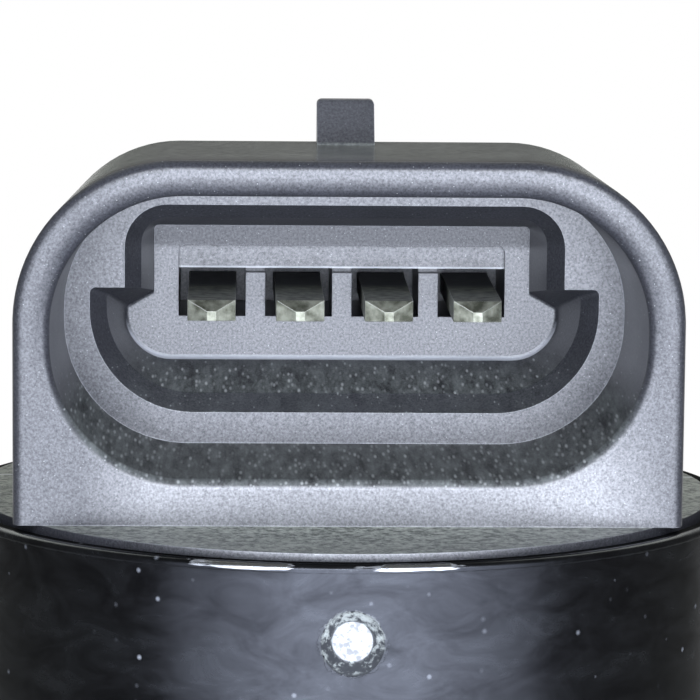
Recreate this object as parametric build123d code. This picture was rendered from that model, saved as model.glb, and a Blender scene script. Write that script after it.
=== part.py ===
from build123d import *
import os
from math import atan2, degrees

# Idle air control valve: a two-phase stepper motor in a painted can that
# screws a tapered pintle in and out of a throttle body's bypass port.
# Millimetres. The origin is the centre of the flange's mounting face, +Z runs
# up the motor's axis to the connector, and the connector's mouth faces -Y.

# Fits, per side, how far a cut or a joined piece runs past a face, and the most of a wall that a corner takes
PRESS_GAP = 0.02
MOULD_GAP = 0.02
RUN_GAP = 0.04
AIR_GAP = 0.4
END_PLAY = 0.1
OVERRUN = 1.0
SINK = 0.5
CORNER_SHARE = 0.95

# Front housing, die cast with its flange, pilot and motor register
FLANGE_T = 4.0
FLANGE_MARGIN = 1.0
HEAD_ROOM = 4.75
EAR_R = 6.2
BOLT_HOLE_R = 2.75
FLANGE_EDGE_R = 0.6
PILOT_R = 11.0
PILOT_LENGTH = 8.0
PILOT_CHAMFER = 0.6
REGISTER_H = 6.0
SHAFT_PASSAGE_GAP = 0.6

# O-ring on the pilot
RING_WIRE_R = 1.2
RING_PROUD = 0.55
RING_GROOVE_SLACK = 0.2
RING_BELOW_FLANGE = 3.4

# Drawn steel can, staked to the housing and to the cap
CAN_R = 17.75
CAN_WALL = 0.9
CAN_LENGTH = 34.0
CAN_LIP_R = 0.3
STAKE_COUNT = 4
STAKE_MOUTH_R = 1.375
STAKE_FLOOR_R = 0.85
STAKE_DEPTH = 0.5
STAKE_INSET = 3.3
STAKE_GROOVE_DEPTH = 0.7
STAKE_GROOVE_SLACK = 0.3

# Shaft, pintle and return spring
LEAD_SCREW_R = 2.3
SCREW_INSIDE_FLATS = 0.1
GUIDE_SHAFT_R = 3.0
GUIDE_BUSH_WALL = 2.0
GUIDE_BUSH_LENGTH = 7.0
PINTLE_SPIGOT_R = 2.1
PINTLE_SPIGOT_LENGTH = 5.5
PINTLE_TRAVEL = 4.0
STOP_MARGIN = 0.3
SCREW_ENGAGEMENT = 18.0
SPRING_LENGTH = 8.0
SPRING_TOP_R = 7.2
SPRING_FOOT_R = 6.0
SPRING_WIRE_R = 0.5
SPRING_TURNS = 3.5
PINTLE_COLLAR_T = 1.2
PINTLE_COLLAR_RIM = 0.9
PINTLE_NECK_R = 4.4
PINTLE_NECK_LENGTH = 1.4
PINTLE_CONE_R = 6.0
PINTLE_CONE_LENGTH = 8.0
PINTLE_TIP_R = 3.0
PINTLE_LAND = 0.8
PINTLE_TIP_ROUND = 1.2

# Rotor: a moulded threaded hub in a ring magnet, between two plain bushes
JOURNAL_R = 4.0
HUB_R = 5.0
MAGNET_R = 8.0
MAGNET_INSET = 0.4
BUSH_WALL = 2.0
BUSH_LENGTH = 4.5
WASHER_T = 0.5
WASHER_WIDTH = 2.4
SPRING_WASHER_T = 0.25
SPRING_WASHER_DISH = 0.3

# Stator: two coils, each between a pair of claw-pole plates, that fill the can from the register to the plug
STACK_COUNT = 2
POLE_COUNT = 6
PLATE_T = 1.2
CLAW_T = 1.0
CLAW_ROOT_W = 3.4
CLAW_TIP_W = 1.8
CLAW_TIP_GAP = 0.8
BOBBIN_WALL = 0.8
BOBBIN_RIM_GAP = 1.0
COIL_INSET = 0.6

# Cap: one moulding of plug, base disc and connector
CAP_PLUG_H = 8.0
CAP_GAP = 0.25
CAP_GAP_DEPTH = 1.2
CAP_BASE_H = 0.25
CAP_SKIRT_WALL = 2.6
CAP_ROOF = 3.0
CAP_BOSS_WALL = 1.5
SEAL_H = 1.4
SEAL_WIDTH = 1.3
SEAL_BELOW_STAKES = 2.2

# Connector, sized from the cap's base disc upward and from its front inward
FRONT_Y = 10.2
SHROUD_HALF_W = 14.43
SHROUD_H = 15.65
SHROUD_DEPTH = 10.8
SHROUD_CORNER_R = 7.05
SHROUD_SIDE_TAPER = 1.28
SHROUD_EDGE_R = 0.45
MOUTH_SIDE_WALL = 1.63
MOUTH_TOP_WALL = 1.5
MOUTH_SILL = 2.0
MOUTH_TOP_R = 5.7
MOUTH_BOTTOM_R = 5.8
MOUTH_EDGE_R = 0.42
MOUTH_DRAFT = 0.3
MOUTH_DEPTH = 8.3
POCKET_UPPER_HALF_W = 9.8
POCKET_LOWER_HALF_W = 11.35
POCKET_TOP = 13.0
POCKET_STEP = 9.28
THROAT_STEP = 9.1
FLOOR_STEP = 8.57
POCKET_BOTTOM = 3.7
POCKET_TOP_R = 1.9
POCKET_BOTTOM_R = 4.6
POCKET_FLOOR_R = 2.6
LEAD_IN_DEPTH = 1.4
LEAD_IN_INSET = 0.7
POCKET_DEPTH = 5.2
UPPER_DRAFT = 0.5
LOWER_DRAFT = 0.78
TOP_DRAFT = 0.72
BOTTOM_DRAFT = 1.07
THROAT_STEP_FALL = 0.25
FLOOR_STEP_FALL = 0.73
STEP_CORNER_R = 0.25
THROAT_TOP_R = 1.2
FLOOR_TOP_R = 0.2
FLOOR_EDGE_R = 0.2
TAB_HALF_W = 1.28
TAB_H = 1.96
TAB_LENGTH = 2.2
TAB_RAKE = 1.5
TAB_EDGE_R = 0.25
REAR_WALL = 1.5
REAR_CORNER_R = 3.5
REAR_EDGE_R = 1.2

# Terminals in their wells
TERMINAL_COUNT = 4
TERMINAL_PITCH = 3.96
TERMINAL_Z = 8.26
BLADE_W = 2.15
BLADE_T = 0.94
BLADE_REACH = 5.0
TIP_LENGTH = 0.4
TIP_SIDE_INSET = 0.88
TIP_TOP_INSET = 0.48
TIP_FOOT_INSET = 0.04
BLADE_BEND_R = 0.6
WELL_W = 3.06
WELL_H = 2.18
WELL_RISE = 0.22
WELL_DEPTH = 6.0
BLADE_BEHIND_WELL = 2.4
LEG_CLEAR_OF_STATOR = 0.6
RELIEF_H = 1.07
RELIEF_DROP = 0.17
RELIEF_DEPTH = 0.4
RELIEF_CORNER_R = 0.3

# Places that follow from the sizes above
can_in_r = CAN_R - CAN_WALL
rim_z = FLANGE_T + CAN_LENGTH
base_z = rim_z + CAP_BASE_H
register_top = FLANGE_T + REGISTER_H
bolt_x = CAN_R + HEAD_ROOM
plug_bottom = rim_z - CAP_PLUG_H
stack_h = (plug_bottom - register_top) / STACK_COUNT
bobbin_h = stack_h - 2 * PLATE_T
front_y = -FRONT_Y
mouth_floor_y = front_y + MOUTH_DEPTH
pocket_floor_y = mouth_floor_y + POCKET_DEPTH
well_end_y = pocket_floor_y + WELL_DEPTH
leg_y = well_end_y + BLADE_BEHIND_WELL
blade_z = base_z + TERMINAL_Z
wells_span = (TERMINAL_COUNT - 1) * TERMINAL_PITCH + WELL_W
claw_in_r = MAGNET_R + AIR_GAP
claw_out_r = claw_in_r + CLAW_T
bush_out_r = JOURNAL_R + RUN_GAP + BUSH_WALL
guide_flat = LEAD_SCREW_R + SCREW_INSIDE_FLATS
guide_bush_r = GUIDE_SHAFT_R + RUN_GAP + GUIDE_BUSH_WALL
passage_r = GUIDE_SHAFT_R + SHAFT_PASSAGE_GAP
pintle_back_z = -PILOT_LENGTH - SPRING_LENGTH
hub_front_z = register_top - BUSH_LENGTH
hub_shoulder_z = register_top + WASHER_T + END_PLAY
hub_rear_shoulder_z = plug_bottom - SPRING_WASHER_T - SPRING_WASHER_DISH
hub_top_z = plug_bottom + BUSH_LENGTH - END_PLAY
guide_shaft_top = hub_front_z - PINTLE_TRAVEL - STOP_MARGIN
seal_z = rim_z - STAKE_INSET - STAKE_MOUTH_R - SEAL_BELOW_STAKES
ring_groove_r = PILOT_R + RING_PROUD - 2 * RING_WIRE_R


def disc(radius, low, high):
    """A round solid on the motor's axis between two heights."""
    return Pos(0, 0, low) * Cylinder(radius, high - low, align=(Align.CENTER, Align.CENTER, Align.MIN))


def ring(outer, inner, low, high):
    """A round ring on the motor's axis between two heights."""
    return disc(outer, low, high) - disc(inner, low, high)


def turned(points):
    """A solid turned about the motor's axis from (radius, height) corners."""
    return revolve(Plane.XZ * make_face(Polyline(*points, close=True)), Axis.Z)


def around(count, start=0.0):
    """Evenly spaced turns about the motor's axis."""
    return [Rot(0, 0, start + 360 / count * i) for i in range(count)]


def across(depth):
    """The upright plane at a depth behind the connector's front, seen from its mouth."""
    return Plane(origin=(0, front_y + depth, base_z), x_dir=(1, 0, 0), z_dir=(0, -1, 0))


def double_d(radius, half_flat):
    """A round section with two flats."""
    return Circle(radius) & Rectangle(2 * radius, 2 * half_flat)


def stake(low_r, high_r, depth, radius, height):
    """A stubby cone that points at the axis from a radius: the form of one stake."""
    cone = Cone(high_r, low_r, depth, align=(Align.CENTER, Align.CENTER, Align.MIN))
    return Pos(radius, 0, height) * Rot(0, -90, 0) * cone


def stake_groove(height):
    """The groove that the can's stakes are driven into."""
    half_h = STAKE_MOUTH_R + STAKE_GROOVE_SLACK
    return ring(can_in_r + OVERRUN, can_in_r - STAKE_GROOVE_DEPTH, height - half_h, height + half_h)


def front_housing():
    """Flange, pilot with its seal groove, and the register that the can is staked to."""
    outline = Circle(CAN_R + FLANGE_MARGIN)
    for side in (-1, 1):
        outline += Pos(side * bolt_x, 0) * Circle(EAR_R)
    flange = extrude(make_hull(outline.edges()), FLANGE_T)
    flange = fillet(flange.edges().group_by(Axis.Z)[-1], FLANGE_EDGE_R)
    pilot = turned([
        (0, SINK), (PILOT_R, SINK), (PILOT_R, -PILOT_LENGTH + PILOT_CHAMFER),
        (PILOT_R - PILOT_CHAMFER, -PILOT_LENGTH), (0, -PILOT_LENGTH),
    ])
    half_groove = RING_WIRE_R + RING_GROOVE_SLACK
    pilot -= ring(PILOT_R + OVERRUN, ring_groove_r, -RING_BELOW_FLANGE - half_groove,
                  -RING_BELOW_FLANGE + half_groove)
    register = disc(can_in_r - PRESS_GAP, FLANGE_T - SINK, register_top)
    register -= stake_groove(FLANGE_T + STAKE_INSET)
    body = flange + pilot + register
    body -= disc(passage_r, -PILOT_LENGTH, register_top)
    body -= disc(bush_out_r + PRESS_GAP, register_top - BUSH_LENGTH, register_top)
    body -= disc(guide_bush_r + PRESS_GAP, -PILOT_LENGTH, -PILOT_LENGTH + GUIDE_BUSH_LENGTH)
    for side in (-1, 1):
        body -= Pos(side * bolt_x, 0) * disc(BOLT_HOLE_R, 0, FLANGE_T)
    return body


def o_ring():
    """Rubber ring that seals the pilot in its bore."""
    return Pos(0, 0, -RING_BELOW_FLANGE) * Torus(ring_groove_r + RING_WIRE_R, RING_WIRE_R)


def motor_can():
    """Drawn tube with rounded lips, staked inward near both ends."""
    can = ring(CAN_R, can_in_r, FLANGE_T, rim_z)
    can = fillet(can.edges().group_by(Axis.Z)[-1], CAN_LIP_R)
    for height, start in ((rim_z - STAKE_INSET, -90), (FLANGE_T + STAKE_INSET, -45)):
        bump_r = CAN_R - STAKE_DEPTH / 2
        bump = stake(STAKE_FLOOR_R, STAKE_MOUTH_R, CAN_WALL + STAKE_DEPTH / 2, bump_r, height)
        dent = stake(STAKE_FLOOR_R, STAKE_MOUTH_R, STAKE_DEPTH, CAN_R, height)
        for turn in around(STAKE_COUNT, start):
            can += turn * (bump & disc(bump_r, FLANGE_T, rim_z))
        for turn in around(STAKE_COUNT, start):
            can -= turn * dent
    return can


def guide_bush():
    """Sleeve whose flat-sided hole keeps the shaft from turning."""
    low = -PILOT_LENGTH
    sleeve = disc(guide_bush_r, low, low + GUIDE_BUSH_LENGTH)
    hole = double_d(GUIDE_SHAFT_R + RUN_GAP, guide_flat + RUN_GAP)
    return sleeve - Pos(0, 0, low) * extrude(hole, GUIDE_BUSH_LENGTH)


def bearing_bush(low):
    """Sintered bush for one of the rotor's journals."""
    return ring(bush_out_r, JOURNAL_R + RUN_GAP, low, low + BUSH_LENGTH)


def thrust_washer():
    """Flat washer between the front bush and the rotor's shoulder."""
    inner = JOURNAL_R + RUN_GAP
    return ring(inner + WASHER_WIDTH, inner, register_top, register_top + WASHER_T)


def spring_washer():
    """Dished washer that takes up the rotor's end play at the cap."""
    inner = JOURNAL_R + RUN_GAP
    outer = inner + WASHER_WIDTH
    foot = hub_rear_shoulder_z
    return turned([
        (inner, foot), (outer, foot + SPRING_WASHER_DISH),
        (outer, foot + SPRING_WASHER_DISH + SPRING_WASHER_T), (inner, foot + SPRING_WASHER_T),
    ])


def rotor_hub():
    """Threaded hub with a journal at each end and a shoulder for the magnet."""
    foot = hub_front_z + END_PLAY
    hub = disc(JOURNAL_R, foot, hub_top_z) + disc(HUB_R, hub_shoulder_z, hub_rear_shoulder_z - END_PLAY)
    return hub - disc(LEAD_SCREW_R + RUN_GAP, foot, hub_top_z)


def rotor_magnet():
    """Ring magnet moulded round the hub."""
    low = hub_shoulder_z + MAGNET_INSET
    high = hub_rear_shoulder_z - END_PLAY - MAGNET_INSET
    return ring(MAGNET_R, HUB_R + MOULD_GAP, low, high)


def pole_plate(claw_face_z, points_up, start):
    """Pressed plate with tapered claws that stand from one face and reach along the rotor."""
    plate = disc(can_in_r - PRESS_GAP, 0, PLATE_T)
    claw_length = bobbin_h - CLAW_TIP_GAP
    blank = make_face(Polyline(
        (-CLAW_ROOT_W / 2, PLATE_T / 2), (CLAW_ROOT_W / 2, PLATE_T / 2),
        (CLAW_TIP_W / 2, -claw_length), (-CLAW_TIP_W / 2, -claw_length), close=True))
    wedge = extrude(Plane.YZ * blank, claw_out_r + OVERRUN)
    claw = wedge & disc(claw_out_r, -claw_length - OVERRUN, PLATE_T)
    for turn in around(POLE_COUNT, start):
        plate += turn * claw
    plate -= disc(claw_in_r, -claw_length - OVERRUN, PLATE_T + OVERRUN)
    if points_up:
        plate = mirror(plate, Plane.XY)
    return Pos(0, 0, claw_face_z) * plate


def bobbin(low):
    """Moulded spool for one coil."""
    inner = claw_out_r + RUN_GAP
    outer = can_in_r - BOBBIN_RIM_GAP
    return turned([
        (inner, low), (outer, low), (outer, low + BOBBIN_WALL), (inner + BOBBIN_WALL, low + BOBBIN_WALL),
        (inner + BOBBIN_WALL, low + bobbin_h - BOBBIN_WALL), (outer, low + bobbin_h - BOBBIN_WALL),
        (outer, low + bobbin_h), (inner, low + bobbin_h),
    ])


def coil(low):
    """Wound copper on one spool."""
    inner = claw_out_r + RUN_GAP + BOBBIN_WALL + MOULD_GAP
    outer = can_in_r - BOBBIN_RIM_GAP - COIL_INSET
    return ring(outer, inner, low + BOBBIN_WALL + MOULD_GAP, low + bobbin_h - BOBBIN_WALL - MOULD_GAP)


def lead_screw():
    """Shaft: spigot for the pintle, flat-sided guide length, then the screw."""
    spigot = disc(PINTLE_SPIGOT_R, pintle_back_z - PINTLE_SPIGOT_LENGTH, pintle_back_z)
    section = double_d(GUIDE_SHAFT_R, guide_flat)
    guide = Pos(0, 0, pintle_back_z) * extrude(section, guide_shaft_top - pintle_back_z)
    screw = disc(LEAD_SCREW_R, guide_shaft_top, hub_front_z + SCREW_ENGAGEMENT)
    return spigot + guide + screw


def pintle():
    """Turned valve head: spring collar, neck, land and tapered nose."""
    collar_r = SPRING_FOOT_R + SPRING_WIRE_R + PINTLE_COLLAR_RIM
    neck_z = pintle_back_z - PINTLE_COLLAR_T
    land_z = neck_z - PINTLE_NECK_LENGTH
    cone_z = land_z - PINTLE_LAND
    tip_z = cone_z - PINTLE_CONE_LENGTH
    head = turned([
        (0, pintle_back_z), (collar_r, pintle_back_z), (collar_r, neck_z), (PINTLE_NECK_R, neck_z),
        (PINTLE_NECK_R, land_z), (PINTLE_CONE_R, land_z), (PINTLE_CONE_R, cone_z),
        (PINTLE_TIP_R, tip_z), (0, tip_z),
    ])
    head = fillet(head.edges().group_by(Axis.Z)[0], PINTLE_TIP_ROUND)
    return head - disc(PINTLE_SPIGOT_R + PRESS_GAP, pintle_back_z - PINTLE_SPIGOT_LENGTH, pintle_back_z)


def return_spring():
    """Conical wire spring between the pilot's face and the pintle's collar."""
    rise = SPRING_LENGTH - 2 * SPRING_WIRE_R
    flare = degrees(atan2(SPRING_TOP_R - SPRING_FOOT_R, rise))
    path = Helix(rise / SPRING_TURNS, rise, SPRING_FOOT_R, cone_angle=flare)
    section = Plane(origin=path @ 0, z_dir=path % 0) * RegularPolygon(SPRING_WIRE_R, 6)
    wire = sweep(section, path=path, is_frenet=True)
    return Pos(0, 0, pintle_back_z + SPRING_WIRE_R) * wire


def rounded_mouth(inset):
    """Outline of the connector's front opening, with its draft taken off."""
    half = SHROUD_HALF_W - MOUTH_SIDE_WALL - inset
    low = MOUTH_SILL + inset
    high = SHROUD_H - MOUTH_TOP_WALL - inset
    face = make_face(Polyline((-half, low), (half, low), (half, high), (-half, high), close=True))
    face = fillet(face.vertices().group_by(Axis.Y)[-1], MOUTH_TOP_R - inset)
    return fillet(face.vertices().group_by(Axis.Y)[0], MOUTH_BOTTOM_R - inset)


def pocket_outline(upper, lower, top, bottom, step, step_fall, top_r, bottom_r):
    """Outline of the terminal pocket: a narrow top, stepped out to a round-cornered trough."""
    face = make_face(Polyline(
        (-lower, bottom), (lower, bottom), (lower, step - step_fall), (upper, step),
        (upper, top), (-upper, top), (-upper, step), (-lower, step - step_fall), close=True))
    face = fillet(face.vertices().group_by(Axis.Y)[-1], top_r)
    shoulder = step - step_fall
    foot_room = shoulder - STEP_CORNER_R - bottom
    face = fillet(face.vertices().group_by(Axis.Y)[0], min(bottom_r, CORNER_SHARE * foot_room))
    shoulders = face.vertices().filter_by(lambda v: abs(v.X) > upper and v.Y > shoulder - STEP_CORNER_R)
    return fillet(shoulders, STEP_CORNER_R)


def pocket():
    """The terminal pocket's room: a lead-in, then drafted walls down to its floor."""
    upper = POCKET_UPPER_HALF_W - LEAD_IN_INSET
    lower = POCKET_LOWER_HALF_W - LEAD_IN_INSET
    top = POCKET_TOP - LEAD_IN_INSET
    bottom = POCKET_BOTTOM + LEAD_IN_INSET
    start = pocket_outline(POCKET_UPPER_HALF_W, POCKET_LOWER_HALF_W, POCKET_TOP, POCKET_BOTTOM,
                           POCKET_STEP, 0, POCKET_TOP_R, POCKET_BOTTOM_R)
    throat = pocket_outline(upper, lower, top, bottom, THROAT_STEP, THROAT_STEP_FALL, THROAT_TOP_R,
                            POCKET_BOTTOM_R - LEAD_IN_INSET)
    end = pocket_outline(upper - UPPER_DRAFT, lower - LOWER_DRAFT, top - TOP_DRAFT, bottom + BOTTOM_DRAFT,
                         FLOOR_STEP, FLOOR_STEP_FALL, FLOOR_TOP_R, POCKET_FLOOR_R)
    throat_depth = MOUTH_DEPTH + LEAD_IN_DEPTH
    lead_in = loft([across(MOUTH_DEPTH) * start, across(throat_depth) * throat], ruled=True)
    drafted = loft([across(throat_depth) * throat, across(MOUTH_DEPTH + POCKET_DEPTH) * end], ruled=True)
    floor_edges = drafted.faces().sort_by(Axis.Y)[-1].edges()
    trough_top = base_z + FLOOR_STEP - FLOOR_STEP_FALL - STEP_CORNER_R
    drafted = fillet(floor_edges.filter_by(lambda e: e.center().Z < trough_top), FLOOR_EDGE_R)
    return lead_in + drafted


def shroud_outline(inset):
    """Outline of the connector's outer wall, drawn in at its sides."""
    half = SHROUD_HALF_W - inset
    face = make_face(Polyline((-half, 0), (half, 0), (half, SHROUD_H), (-half, SHROUD_H), close=True))
    return fillet(face.vertices().group_by(Axis.Y)[-1], SHROUD_CORNER_R - inset)


def shroud():
    """The connector's outer wall, drawn in at its back, with a round-cornered mouth and soft front edges."""
    back = shroud_outline(SHROUD_SIDE_TAPER)
    block = loft([across(0) * shroud_outline(0), across(SHROUD_DEPTH) * back], ruled=True)
    front_edges = block.faces().sort_by(Axis.Y)[0].edges()
    block = fillet(front_edges.filter_by(lambda e: e.center().Z > base_z + SHROUD_EDGE_R), SHROUD_EDGE_R)
    mouth = [across(0) * rounded_mouth(0), across(MOUTH_DEPTH) * rounded_mouth(MOUTH_DRAFT)]
    block -= loft(mouth, ruled=True)
    front_face = block.faces().sort_by(Axis.Y)[0]
    return fillet(front_face.inner_wires()[0].edges(), MOUTH_EDGE_R)


def rear_outline(half, top, corner_r):
    """Section of the connector's back, round-cornered at its top."""
    face = make_face(Polyline((-half, 0), (half, 0), (half, top), (-half, top), close=True))
    return fillet(face.vertices().group_by(Axis.Y)[-1], corner_r)


def rear_block():
    """Low back of the connector, drawn in to the terminals, that closes over their bends."""
    depth = leg_y + BLADE_T / 2 + REAR_WALL - front_y
    back_half = wells_span / 2 + REAR_WALL
    back_top = TERMINAL_Z + BLADE_T / 2 + BLADE_BEND_R + REAR_WALL
    near = rear_outline(SHROUD_HALF_W - MOUTH_SIDE_WALL, POCKET_TOP + REAR_WALL, MOUTH_TOP_R)
    far = rear_outline(back_half, back_top, REAR_CORNER_R)
    block = loft([across(SHROUD_DEPTH - SINK) * near, across(depth) * far], ruled=True)
    back_edges = block.faces().sort_by(Axis.Y)[-1].edges()
    block = fillet(back_edges.filter_by(lambda e: e.center().Z > base_z + REAR_EDGE_R), REAR_EDGE_R)
    return block & disc(can_in_r - CAP_GAP, base_z, base_z + SHROUD_H)


def latch_tab():
    """Raked catch for the plug's latch, at the back of the shroud's roof."""
    back = front_y + SHROUD_DEPTH
    front = back - TAB_LENGTH
    foot = base_z + SHROUD_H - SINK
    top = base_z + SHROUD_H + TAB_H
    side = make_face(Polyline((front, foot), (back, foot), (back, top), (front + TAB_RAKE, top), close=True))
    tab = extrude(Plane.YZ * side, TAB_HALF_W, both=True)
    return fillet(tab.edges().group_by(Axis.Z)[-1], TAB_EDGE_R)


def terminal_path(x, grow):
    """One terminal as bent strip: blade towards the mouth, then a leg down into the motor."""
    half = BLADE_T / 2 + grow
    width = BLADE_W + 2 * grow
    blade_end = pocket_floor_y - BLADE_REACH
    leg_foot = plug_bottom + LEG_CLEAR_OF_STATOR
    strip = make_face(Polyline(
        (blade_end, blade_z - half), (leg_y - half, blade_z - half), (leg_y - half, leg_foot),
        (leg_y + half, leg_foot), (leg_y + half, blade_z + half), (blade_end, blade_z + half), close=True))
    outer_corner = strip.vertices().sort_by(lambda v: v.X + v.Y)[-1]
    strip = fillet(outer_corner, BLADE_BEND_R + BLADE_T)
    return Pos(x, 0, 0) * extrude(Plane.YZ * strip, width / 2, both=True)


def terminal_x(index):
    """Place of a terminal across the connector."""
    return (index - (TERMINAL_COUNT - 1) / 2) * TERMINAL_PITCH


def terminal(index):
    """Tinned terminal whose tip is coined to a low blunt point."""
    x = terminal_x(index)
    shoulder = MOUTH_DEPTH + POCKET_DEPTH - BLADE_REACH
    full = Pos(x, TERMINAL_Z) * Rectangle(BLADE_W, BLADE_T)
    point_z = TERMINAL_Z + (TIP_FOOT_INSET - TIP_TOP_INSET) / 2
    point = Rectangle(BLADE_W - 2 * TIP_SIDE_INSET, BLADE_T - TIP_FOOT_INSET - TIP_TOP_INSET)
    tip = loft([across(shoulder) * full, across(shoulder - TIP_LENGTH) * Pos(x, point_z) * point], ruled=True)
    return terminal_path(x, 0) + tip


def connector_cap():
    """Glass-filled moulding: plug in the can, base disc, shroud, pocket, wells and latch tab."""
    plug_r = can_in_r - PRESS_GAP
    plug = disc(plug_r, plug_bottom, rim_z - CAP_GAP_DEPTH)
    plug += disc(can_in_r - CAP_GAP, rim_z - CAP_GAP_DEPTH, base_z)
    plug -= stake_groove(rim_z - STAKE_INSET)
    seal_room = SEAL_H / 2 + MOULD_GAP
    plug -= ring(can_in_r + OVERRUN, can_in_r - SEAL_WIDTH, seal_z - seal_room, seal_z + seal_room)
    boss_r = bush_out_r + PRESS_GAP + CAP_BOSS_WALL
    room = ring(plug_r - CAP_SKIRT_WALL, boss_r, plug_bottom, rim_z - CAP_ROOF)
    bush_seat = disc(bush_out_r + PRESS_GAP, plug_bottom, plug_bottom + BUSH_LENGTH)
    cap = plug - room - bush_seat + shroud() + rear_block() + latch_tab()
    cap -= pocket()
    well_z = TERMINAL_Z + WELL_RISE
    for index in range(TERMINAL_COUNT):
        x = terminal_x(index)
        well = Pos(x, well_z) * Rectangle(WELL_W, WELL_H)
        cap -= extrude(across(MOUTH_DEPTH + POCKET_DEPTH) * well, -WELL_DEPTH)
        cap -= terminal_path(x, MOULD_GAP)
    relief_z = well_z + (WELL_H + RELIEF_H - RELIEF_DROP) / 2
    relief = Pos(0, relief_z) * Rectangle(wells_span, RELIEF_H + RELIEF_DROP)
    relief = fillet(relief.vertices().group_by(Axis.Y)[-1], RELIEF_CORNER_R)
    return cap - extrude(across(MOUTH_DEPTH + POCKET_DEPTH) * relief, -RELIEF_DEPTH)


def cap_seal():
    """Square-cut rubber ring between the cap's plug and the can."""
    inner = can_in_r - SEAL_WIDTH + MOULD_GAP
    return ring(can_in_r - PRESS_GAP, inner, seal_z - SEAL_H / 2, seal_z + SEAL_H / 2)


os.makedirs("parts", exist_ok=True)

pieces = {
    "front_housing": front_housing(),
    "o_ring": o_ring(),
    "motor_can": motor_can(),
    "guide_bush": guide_bush(),
    "front_bush": bearing_bush(register_top - BUSH_LENGTH),
    "rear_bush": bearing_bush(plug_bottom),
    "thrust_washer": thrust_washer(),
    "spring_washer": spring_washer(),
    "rotor_hub": rotor_hub(),
    "rotor_magnet": rotor_magnet(),
    "lead_screw": lead_screw(),
    "pintle": pintle(),
    "return_spring": return_spring(),
    "connector_cap": connector_cap(),
    "cap_seal": cap_seal(),
}

half_pole = 180 / POLE_COUNT
for stack in range(STACK_COUNT):
    low = register_top + stack * stack_h
    shift = stack * half_pole / 2
    number = stack + 1
    pieces[f"lower_pole_plate_{number}"] = pole_plate(low + PLATE_T, True, shift)
    pieces[f"upper_pole_plate_{number}"] = pole_plate(low + PLATE_T + bobbin_h, False, shift + half_pole)
    pieces[f"bobbin_{number}"] = bobbin(low + PLATE_T)
    pieces[f"coil_{number}"] = coil(low + PLATE_T)

for index in range(TERMINAL_COUNT):
    pieces[f"terminal_{index + 1}"] = terminal(index)

for name, shape in pieces.items():
    export_step(shape, f"parts/{name}.step")
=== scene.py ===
import math
import bpy
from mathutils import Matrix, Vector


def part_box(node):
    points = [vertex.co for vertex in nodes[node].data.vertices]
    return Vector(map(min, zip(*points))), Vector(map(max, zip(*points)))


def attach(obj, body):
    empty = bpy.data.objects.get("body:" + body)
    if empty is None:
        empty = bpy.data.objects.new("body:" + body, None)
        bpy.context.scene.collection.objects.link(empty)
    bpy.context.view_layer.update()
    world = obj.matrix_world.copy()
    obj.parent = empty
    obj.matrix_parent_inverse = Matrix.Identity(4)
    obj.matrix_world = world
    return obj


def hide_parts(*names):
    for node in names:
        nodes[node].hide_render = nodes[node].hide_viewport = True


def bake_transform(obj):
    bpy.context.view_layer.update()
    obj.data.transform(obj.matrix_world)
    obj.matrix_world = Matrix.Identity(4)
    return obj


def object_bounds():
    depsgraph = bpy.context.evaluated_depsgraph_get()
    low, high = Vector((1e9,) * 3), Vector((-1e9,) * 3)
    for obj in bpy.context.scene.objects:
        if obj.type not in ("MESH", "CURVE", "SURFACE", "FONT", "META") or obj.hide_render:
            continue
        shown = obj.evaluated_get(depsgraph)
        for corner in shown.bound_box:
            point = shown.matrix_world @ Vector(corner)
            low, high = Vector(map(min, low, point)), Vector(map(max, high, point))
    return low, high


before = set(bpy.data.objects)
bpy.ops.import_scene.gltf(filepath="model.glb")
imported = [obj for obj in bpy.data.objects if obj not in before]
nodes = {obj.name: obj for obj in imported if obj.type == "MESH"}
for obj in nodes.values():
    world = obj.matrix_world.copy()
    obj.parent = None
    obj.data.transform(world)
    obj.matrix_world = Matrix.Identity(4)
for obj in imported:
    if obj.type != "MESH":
        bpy.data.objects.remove(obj)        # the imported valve: bodies housing, rotor and valve
cad_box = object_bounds()


# Front housing: the casting that carries the whole valve, with its flange, pilot and motor register.
# It is an aluminium alloy shot into a steel die and left as cast.
# Two screws through the ears hold it to the throttle body.

def link(tree, node, links):
    """Feed a node's sockets, by name or number, from an output or from another node's first output."""
    for key, source in links.items():
        output = source.outputs[0] if isinstance(source, bpy.types.Node) else source
        tree.links.new(output, node.inputs[key])


def add_node(tree, kind, settings, links):
    """A shader node with its settings, by property name, socket name or socket number, and its links."""
    made = tree.nodes.new("ShaderNode" + kind)
    for key, value in settings.items():
        if isinstance(key, str) and key in made.bl_rna.properties:
            setattr(made, key, value)
        else:
            made.inputs[key].default_value = value
    link(tree, made, links)
    return made


def new_finish(name, settings):
    """A material with plain numbers on its shader; gives also its tree, shader and Object coordinates."""
    finish = bpy.data.materials.new(name)
    finish.use_nodes = True
    tree = finish.node_tree
    shader = tree.nodes["Principled BSDF"]
    for socket, value in settings.items():
        shader.inputs[socket].default_value = value
    place = add_node(tree, "TexCoord", {}, {}).outputs["Object"]
    return finish, tree, shader, place


# Die-cast aluminium: dull silver, cloudy where the metal flowed, with a fine pitted skin.
cast, tree, shader, place = new_finish("die_cast_aluminium", {"Metallic": 1.0})


def per_mm(size):
    """The texture scale at which one cell of a pattern is this many millimetres across."""
    return 1000 / size


flow = add_node(tree, "TexNoise", {"Scale": per_mm(7), "Detail": 4, "Distortion": 0.6}, {"Vector": place})
pits = add_node(tree, "TexNoise", {"Scale": per_mm(0.35), "Detail": 3}, {"Vector": place})


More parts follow.
